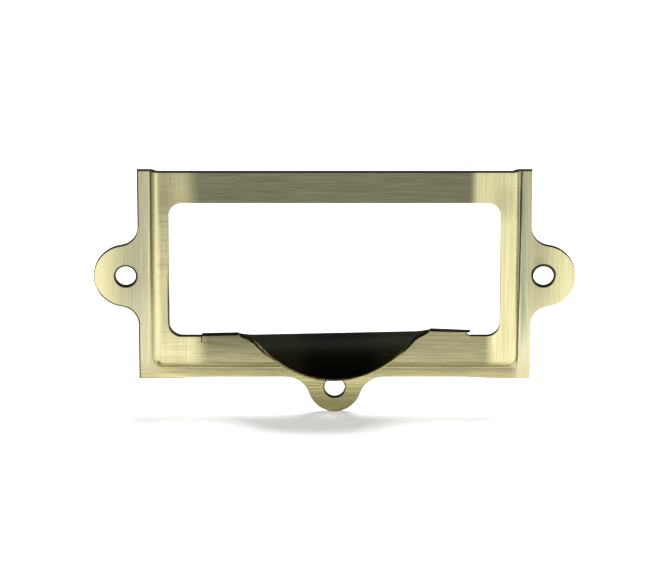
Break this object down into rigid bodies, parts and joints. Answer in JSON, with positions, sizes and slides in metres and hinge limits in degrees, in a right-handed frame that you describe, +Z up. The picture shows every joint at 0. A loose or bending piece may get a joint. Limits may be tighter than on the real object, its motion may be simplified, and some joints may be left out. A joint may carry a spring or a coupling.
{
  "type": "label frame pull",
  "caption": "Flat drawer label holder: a raised card frame with a window, screw ears and a curled finger pull, stamped from one brass sheet.",
  "frame": {"origin": "midway between the two side screw holes, on the back face of the flange, which lies on the drawer front", "axes": "+Z up, -Y out of the front of the frame, +X to the right as seen from the front"},
  "size_m": [0.0952, 0.0123, 0.05],
  "materials": {
    "antique_brass": "brushed antique brass, dark brown oxide on the back"
  },
  "bodies": {
    "root": {"label_frame_pull": "antique_brass"}
  },
  "joints": []
}
